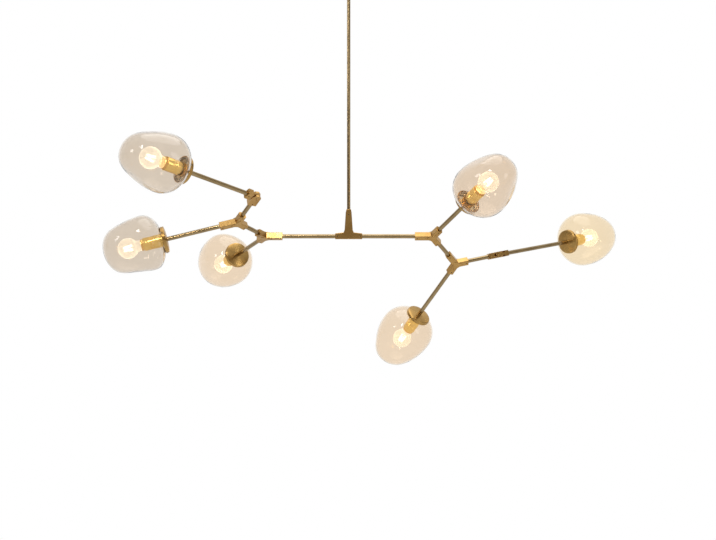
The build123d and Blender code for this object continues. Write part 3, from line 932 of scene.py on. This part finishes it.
@dataclass
class RoundBulb:
    """Round screw-cap bulb with a glowing filament."""

    radius: float = 23.5
    middle: float = 89.5
    wall: float = 0.8
    neck: float = 12.5
    neck_sunk: float = 3.0
    flare: float = 2.5
    flare_steps: tuple[tuple[float, float], ...] = ((0.5, 2.2), (1.4, 0.8))
    cap_radius: float = 13.2
    cap_start: float = 26.3
    cap_end: float = 60.0
    cap_rim: float = 3.4
    cap_edge: float = 0.6
    contact: tuple[tuple[float, float], ...] = ((0.0, 0.0), (4.0, 0.0), (4.6, 1.2), (9.0, 3.0))
    thread_foot: tuple[float, float] = (4.6, 5.0)
    thread_end: float = 4.0
    thread_pitch: float = 3.6
    thread_rise: float = 0.8
    strands: int = 8
    strand_radius: float = 0.8
    cage_foot: tuple[float, float] = (6.5, -9.0)
    cage_head: tuple[float, float] = (4.2, 10.0)

    def envelope(self) -> tuple[Profile, Profile]:
        """Outer and inner skin of the glass, each from its neck to its tip."""
        tip = self.middle + self.radius
        outer = self._skin(self.radius, self.neck, 30)
        inner = self._skin(self.radius - self.wall, self.neck - self.wall, 30)
        return outer + [(0.0, tip)], inner + [(0.0, tip - self.wall)]

    def _skin(self, ball: float, neck: float, steps: int) -> Profile:
        """One skin, from the neck up.

        Args:
            ball: The ball's radius.
            neck: The neck's radius.
            steps: Points on the ball.

        Returns:
            The points, without the tip.
        """
        edge = neck + self.flare
        join = self.middle - sqrt(ball**2 - edge**2)
        points: Profile = [(neck, self.cap_end - self.neck_sunk), (neck, self.cap_end)]
        points += [(neck + out, join - below) for out, below in self.flare_steps]
        first = -degrees(acos(edge / ball))
        return points + arc((0.0, self.middle), (ball, ball), (first, 86.0), steps)

    def cap(self) -> Profile:
        """Section of the threaded cap, from its contact to its rim."""
        shoulder, first = self.thread_foot
        points: Profile = [(radius, self.cap_start + rise) for radius, rise in self.contact]
        points += [(self.cap_radius - self.thread_rise, self.cap_start + shoulder)]
        height = self.cap_start + first
        while height < self.cap_end - self.thread_end:
            wave = 0.5 - 0.5 * cos(2 * pi * (height - self.cap_start) / self.thread_pitch)
            points.append((self.cap_radius - self.thread_rise * (1 - wave), height))
            height += self.thread_pitch / 8
        points += [(self.cap_radius, self.cap_end - self.cap_rim)]
        points += [(self.cap_radius, self.cap_end - self.cap_edge)]
        points += [(self.cap_radius - self.cap_edge, self.cap_end), (0.0, self.cap_end)]
        return points

    def filament(self, arm: int) -> bpy.types.Object:
        """A cage of zigzag strands round the bulb's middle.

        Args:
            arm: The arm's number.

        Returns:
            The filament.
        """
        path: list[Vector] = []
        for number in range(2 * self.strands + 1):
            turn = 2 * pi * number / (2 * self.strands)
            wide, height = self.cage_foot if number % 2 else self.cage_head
            path.append(Vector((wide * cos(turn), wide * sin(turn), self.middle + height)))
        return wire_tube(f"bulb_filament_{arm}", path, self.strand_radius)

    def build(self, arm: int, carrier: Carrier, finishes: dict[str, bpy.types.Material]) -> None:
        """Make one arm's bulb.

        Args:
            arm: The arm's number.
            carrier: Where it goes.
            finishes: Materials of the cap, the glass and the filament.
        """
        outer, inner = self.envelope()
        glass = double_skin(f"bulb_glass_{arm}", outer, inner, 64)
        glass.visible_shadow = False
        carrier.seat(glass, finishes["bulb"], "bulb_glass", f"bulb_{arm}")
        cap = lathe(f"bulb_cap_{arm}", self.cap(), 64, SHELL_CREASE)
        carrier.seat(cap, finishes["cap"], "satin_brass")
        carrier.seat(self.filament(arm), finishes["filament"], "bulb_glass")


def double_skin(name: str, outer: Profile, inner: Profile, count: int) -> bpy.types.Object:
    """Thin turned shell with an outer and an inner skin that meet at the rim.

    Args:
        name: The object's name.
        outer: The outer skin from its rim to its tip on the axis.
        inner: The inner skin, likewise.
        count: Points round the axis.

    Returns:
        The object.
    """
    rows = [*reversed(outer[:-1])] + inner[:-1]
    turn = [2 * pi * i / count for i in range(count)]
    rings = [[Vector((r * cos(a), r * sin(a), h)) * MM for a in turn] for r, h in rows]
    tips = [Vector((0, 0, skin[-1][1])) * MM for skin in (outer, inner)]
    return skin_rings(name, rings, tips[0], tips[1], SHELL_CREASE)


@dataclass(frozen=True)
class Dent:
    """A soft hollow: angles from the far pole and round the arm, and its depth in millimetres."""

    polar: float
    around: float
    depth: float


@dataclass(frozen=True)
class GlassGlobe:
    """One blown globe, in millimetres along the arm from the cup's outer face."""

    middle: float
    front: float
    radius: float
    lean: float
    dents: tuple[Dent, ...]
    finish: GlassFinish
    wall: float = 2.2
    start: float = 3.7
    join: float = 10.5
    lip: float = 28.2
    neck: float = 27.0
    lip_height: float = 1.5
    lip_edge: float = 0.5
    back_fullness: float = 2.4
    front_fullness: float = 2.1
    dent_spread: float = 36.0
    points: int = 120
    rows: int = 44

    def pull(self, polar: float, around: float) -> float:
        """How far the hollows pull the skin in.

        Args:
            polar: Angle from the far pole, in degrees.
            around: Angle round the arm, in degrees.

        Returns:
            The depth, in millimetres.
        """
        total = 0.0
        for dent in self.dents:
            facing = cos(radians(polar)) * cos(radians(dent.polar))
            facing += sin(radians(polar)) * sin(radians(dent.polar)) * cos(radians(around - dent.around))
            away = degrees(acos(max(-1.0, min(1.0, facing))))
            total += dent.depth * exp(-((away / self.dent_spread) ** 2))
        return total

    def skin(self, shrink: float) -> tuple[list[list[Vector]], Vector]:
        """Rings of one skin from the far pole to the neck.

        Args:
            shrink: How far inside the outer skin it lies.

        Returns:
            The rings and the pole, in metres.
        """
        neck = self.neck - shrink
        radius = self.radius - shrink
        join = self.join + shrink
        tip = self.middle + self.front - shrink
        neck_sine = (neck / radius) ** (self.back_fullness / 2)
        back = (self.middle - join) / (1 - neck_sine**2) ** (1 / self.back_fullness)
        last = 180.0 - degrees(acos(sqrt(1 - neck_sine**2)))
        rings: list[list[Vector]] = []
        for row in range(1, self.rows + 1):
            polar = last * row / self.rows
            ahead = polar <= 90
            power = 2 / (self.front_fullness if ahead else self.back_fullness)
            step = abs(cos(radians(polar))) ** power
            height = self.middle + (self.front - shrink) * step if ahead else self.middle - back * step
            width = sin(radians(polar)) ** power
            fade = 1.0 if row < self.rows else 0.0
            lean = self.lean * (height - join) / (tip - join)
            ring: list[Vector] = []
            for number in range(self.points):
                around = 360 * number / self.points
                turn = radians(around)
                reach = width * (radius - fade * self.pull(polar, around))
                ring.append(Vector((lean + reach * cos(turn), reach * sin(turn), height)) * MM)
            rings.append(ring)
        return rings, Vector((self.lean, 0.0, tip)) * MM

    def circle(self, radius: float, height: float) -> list[Vector]:
        """A plain ring, in metres.

        Args:
            radius: Its radius in millimetres.
            height: Its height in millimetres.

        Returns:
            The points.
        """
        turn = [2 * pi * i / self.points for i in range(self.points)]
        return [Vector((radius * cos(a), radius * sin(a), height)) * MM for a in turn]

    def build(self, arm: int, carrier: Carrier, material: bpy.types.Material) -> None:
        """Make the globe: outer skin, lipped neck and inner skin.

        Args:
            arm: The arm's number.
            carrier: Where it goes.
            material: Its glass.
        """
        outer, tip = self.skin(0.0)
        inner, inner_tip = self.skin(self.wall)
        edge = self.lip_edge
        top = self.start + self.lip_height
        bore = self.neck - self.wall
        collar = [(self.neck, top + 0.6), (self.lip - 0.4, top), (self.lip, top - edge)]
        collar += [(self.lip, self.start + edge), (self.lip - edge, self.start)]
        collar += [(bore + edge, self.start), (bore, self.start + edge)]
        rings = outer + [self.circle(*point) for point in collar] + [*reversed(inner)]
        globe = skin_rings(f"blown_globe_{arm}", rings, tip, inner_tip, GLOBE_CREASE)
        globe.visible_shadow = False
        carrier.seat(globe, material, "tinted_glass", f"glass_globe_{arm}")


GLOBES: dict[int, GlassGlobe] = {
    1: GlassGlobe(
        middle=73.0,
        front=81.0,
        radius=67.0,
        lean=-4.0,
        dents=(Dent(60, 0, 9.5), Dent(55, 180, 16), Dent(80, 90, 7), Dent(70, 270, 9)),
        finish=SMOKE_GLASS,
    ),
    2: GlassGlobe(
        middle=67.0,
        front=78.0,
        radius=72.0,
        lean=1.0,
        dents=(Dent(70, 0, 12.5), Dent(80, 180, 14), Dent(75, 90, 11), Dent(85, 270, 10)),
        finish=SMOKE_GLASS,
    ),
    3: GlassGlobe(
        middle=80.0,
        front=79.0,
        radius=65.0,
        lean=2.5,
        dents=(Dent(110, 0, -8), Dent(45, 180, 16), Dent(70, 90, 5), Dent(75, 270, 6)),
        finish=CHAMPAGNE_GLASS,
    ),
    4: GlassGlobe(
        middle=79.0,
        front=81.0,
        radius=69.0,
        lean=-2.5,
        dents=(Dent(60, 0, 15.5), Dent(50, 180, 16), Dent(70, 90, 9), Dent(80, 270, 8)),
        finish=ROSE_GLASS,
    ),
    5: GlassGlobe(
        middle=86.0,
        front=80.0,
        radius=71.0,
        lean=6.0,
        dents=(Dent(55, 0, 15.5), Dent(60, 180, 12), Dent(75, 90, 9), Dent(80, 270, 10)),
        finish=CHAMPAGNE_GLASS,
    ),
    6: GlassGlobe(
        middle=80.0,
        front=82.0,
        radius=72.0,
        lean=-1.0,
        dents=(Dent(55, 0, 16), Dent(52, 180, 16), Dent(75, 90, 10), Dent(70, 270, 11)),
        finish=HONEY_GLASS,
    ),
}
ARM_BODIES: dict[int, str] = {
    1: "elbow_arm",
    2: "left_outer_branch",
    3: "left_branch",
    4: "right_branch",
    5: "right_outer_branch",
    6: "inline_arm",
}


@dataclass
class LightHeads:
    """All six lights: cup, lampholder, bulb and globe on each arm, and the light that it gives."""

    layout: BranchLayout = field(default_factory=BranchLayout)
    cup: ShadeCup = field(default_factory=ShadeCup)
    holder: Lampholder = field(default_factory=Lampholder)
    bulb: RoundBulb = field(default_factory=RoundBulb)
    bulb_power: float = 0.15
    lamp_radius: float = 20.0
    bulb_colour: Colour = (1.0, 0.82, 0.52)

    def build(self) -> None:
        """Make and dress every light."""
        cup_brass = CUP_BRASS.material()
        porcelain = PORCELAIN.material()
        bulb_finishes = {"cap": CAP_BRASS, "bulb": BULB_GLASS, "filament": FILAMENT}
        lit = {piece: finish.material() for piece, finish in bulb_finishes.items()}
        glass = {finish: finish.material() for finish in GLASSES}
        # The sleeve finish carries painted light from the bulb in its pale tone.
        sleeve_brass_painted_light = SLEEVE_BRASS_WITH_PAINTED_LIGHT.material()
        for arm, place in self.layout.head_frames().items():
            carrier = Carrier(place, ARM_BODIES[arm])
            self.cup.build(arm, carrier, cup_brass)
            self.holder.build(arm, carrier, sleeve_brass_painted_light, porcelain)
            self.bulb.build(arm, carrier, lit)
            GLOBES[arm].build(arm, carrier, glass[GLOBES[arm].finish])
            self._shine(arm, carrier)

    def _shine(self, arm: int, carrier: Carrier) -> None:
        """Put a small warm lamp in a bulb.

        Args:
            arm: The arm's number.
            carrier: Where the bulb is.
        """
        lamp = bpy.data.lights.new(f"bulb_light_{arm}", "POINT")
        lamp.energy = self.bulb_power
        lamp.color = self.bulb_colour
        lamp.shadow_soft_size = self.lamp_radius * MM
        made = bpy.data.objects.new(lamp.name, lamp)
        bpy.context.scene.collection.objects.link(made)
        made.visible_transmission = False
        made.matrix_world = carrier.place @ Matrix.Translation(Vector((0, 0, self.bulb.middle * MM)))
        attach(made, carrier.body)


@dataclass
class FrameDress:
    """Finishes for the pieces that the frame itself shows."""

    nodes: dict[str, bpy.types.Object]

    def finish_for(self, name: str) -> Union[BrassFinish, PlainFinish]:
        """Choose a node's finish.

        Args:
            name: The node's name.

        Returns:
            The finish.
        """
        if "set_screws" in name:
            return SCREW_STEEL
        if name == "crossbar":
            return PLATED_STEEL
        if name == "terminal_block":
            return MOULDED_PLASTIC
        if "tube" in name or "rod" in name:
            return DRAWN_BRASS
        if name in ("canopy", "stem_collar", "stem_nipple"):
            return TURNED_BRASS
        return CAST_BRASS

    def dress(self) -> None:
        """Give every shown node its finish."""
        made: dict[str, bpy.types.Material] = {}
        for name, node in sorted(self.nodes.items()):
            if node.hide_render:
                continue
            finish = self.finish_for(name)
            if finish.name not in made:
                made[finish.name] = finish.material()
            node.data.materials.clear()
            node.data.materials.append(made[finish.name])
            LOG.info("%s has %s", name, finish.name)


@dataclass(frozen=True)
class SoftBox:
    """One studio light: where it hangs, its size in metres and its power in watts."""

    name: str
    place: tuple[float, float, float]
    size: tuple[float, float]
    power: float


@dataclass
class Studio:
    """Pale floor, white surround, soft lights and the camera."""

    aim: tuple[float, float, float] = (0.0, 0.0, -0.62)
    camera_place: tuple[float, float, float] = (0.0218, -2.7, -0.6989)
    lens: float = 58.0
    floor_height: float = -2.6
    floor_size: float = 60.0
    floor_white: tuple[float, float] = (3.0, 12.0)
    below: Colour = (0.045, 0.04, 0.033)
    level: Colour = (0.25, 0.226, 0.195)
    above: Colour = (1.0, 0.99, 0.97)
    level_stop: float = 0.55
    backdrop_start: float = 0.2
    floor_tones: tuple[float, float] = (0.82, 0.78)
    lights: tuple[SoftBox, ...] = (
        SoftBox("key_light", (-0.6, -2.1, 0.9), (0.55, 0.55), 18.0),
        SoftBox("side_light", (-2.0, -1.5, 0.3), (0.6, 0.6), 8.0),
        SoftBox("fill_light", (2.2, -1.5, -0.2), (0.8, 1.2), 6.0),
        SoftBox("top_light", (0.2, 0.1, 1.3), (2.6, 2.0), 22.0),
    )

    def build(self) -> None:
        """Set the whole studio up."""
        self._surround()
        self._floor()
        for light in self.lights:
            self._light(light)
        self._camera()
        bpy.context.scene.view_settings.view_transform = "Standard"

    def _seen(self, graph: Graph, behind: Wire) -> Wire:
        """Where the white background shows: to the camera, through glass, and in metal that faces it.

        Args:
            graph: The graph to add to.
            behind: 1 on the side behind the object and 0 on the camera's side.

        Returns:
            1 where it shows and 0 where it lights the object.
        """
        camera = graph.node("ShaderNodeLightPath", output="Is Camera Ray")
        outputs = camera.socket.node.outputs
        through = Wire(graph, outputs["Is Transmission Ray"])
        mirrored = Wire(graph, outputs["Is Glossy Ray"])
        return camera.larger(through).larger(mirrored * behind)

    def _surround(self) -> None:
        """White for the camera, and even soft light for the object."""
        world = bpy.data.worlds.new("studio_surround")
        bpy.context.scene.world = world
        world.use_nodes = True
        graph = Graph(world.node_tree)
        _, depth, height = graph.parts(graph.node("ShaderNodeTexCoord", output="Generated"))
        ramp = [(0.0, self.below), (self.level_stop, self.level), (1.0, self.above)]
        room = graph.node("ShaderNodeValToRGB", {"stops": ramp}, {0: height * 0.5 + 0.5})
        behind = ((depth - self.backdrop_start) * (1.0 / (1.0 - self.backdrop_start))).clamped()
        light = graph.blend(behind, room, WHITE)
        colour = graph.blend(self._seen(graph, behind), light, WHITE)
        shown = graph.node("ShaderNodeBackground", inputs={"Color": colour, "Strength": 1.0})
        graph.node("ShaderNodeOutputWorld", inputs={"Surface": shown})

    def _floor(self) -> None:
        """A wide pale floor, well below the lights."""
        half = self.floor_size / 2
        ends = ((-half, -half), (half, -half), (half, half), (-half, half))
        corners = [Vector((x, y, self.floor_height)) for x, y in ends]
        floor = mesh_object("studio_floor", corners, [(0, 1, 2, 3)], FLOOR_CREASE)
        material, graph = new_graph("pale_floor")
        pale, dim = [(tone, tone, tone) for tone in self.floor_tones]
        tone = graph.blend(graph.noise(graph.place(), 3.0), pale, dim)
        matte = graph.node("ShaderNodeBsdfDiffuse", inputs={"Color": tone})
        white = graph.node("ShaderNodeEmission", inputs={"Color": (*WHITE, 1.0), "Strength": 1.0})
        _, depth, _ = graph.parts(graph.place())
        near, far = self.floor_white
        behind = ((depth - near) * (1.0 / (far - near))).clamped()
        sockets = {0: self._seen(graph, behind), 1: matte, 2: white}
        shown = graph.node("ShaderNodeMixShader", inputs=sockets)
        graph.node("ShaderNodeOutputMaterial", inputs={"Surface": shown})
        floor.data.materials.append(material)

    def _light(self, light: SoftBox) -> None:
        """Hang one soft light.

        Args:
            light: What to hang.
        """
        lamp = bpy.data.lights.new(light.name, "AREA")
        lamp.shape = "ELLIPSE"
        lamp.size, lamp.size_y = light.size
        lamp.energy = light.power
        made = bpy.data.objects.new(light.name, lamp)
        bpy.context.scene.collection.objects.link(made)
        made.location = light.place
        facing = Vector(self.aim) - Vector(light.place)
        made.rotation_euler = facing.to_track_quat("-Z", "Y").to_euler()

    def _camera(self) -> None:
        """Set the camera level, facing the lights."""
        data = bpy.data.cameras.new("view")
        data.lens = self.lens
        data.sensor_width = 36.0
        camera = bpy.data.objects.new("view", data)
        bpy.context.scene.collection.objects.link(camera)
        camera.location = self.camera_place
        camera.rotation_euler = (radians(90.0), 0.0, 0.0)
        bpy.context.scene.camera = camera


def main() -> None:
    """Dress the frame, add the lights and set the studio up."""
    logging.basicConfig(level=logging.INFO, format="%(name)s: %(message)s")
    for old in list(bpy.data.objects):
        bpy.data.objects.remove(old)
    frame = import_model()
    LightHeads().build()
    FrameDress(frame["nodes"]).dress()
    Studio().build()
    bpy.context.view_layer.update()


if __name__ == "__main__":
    main()
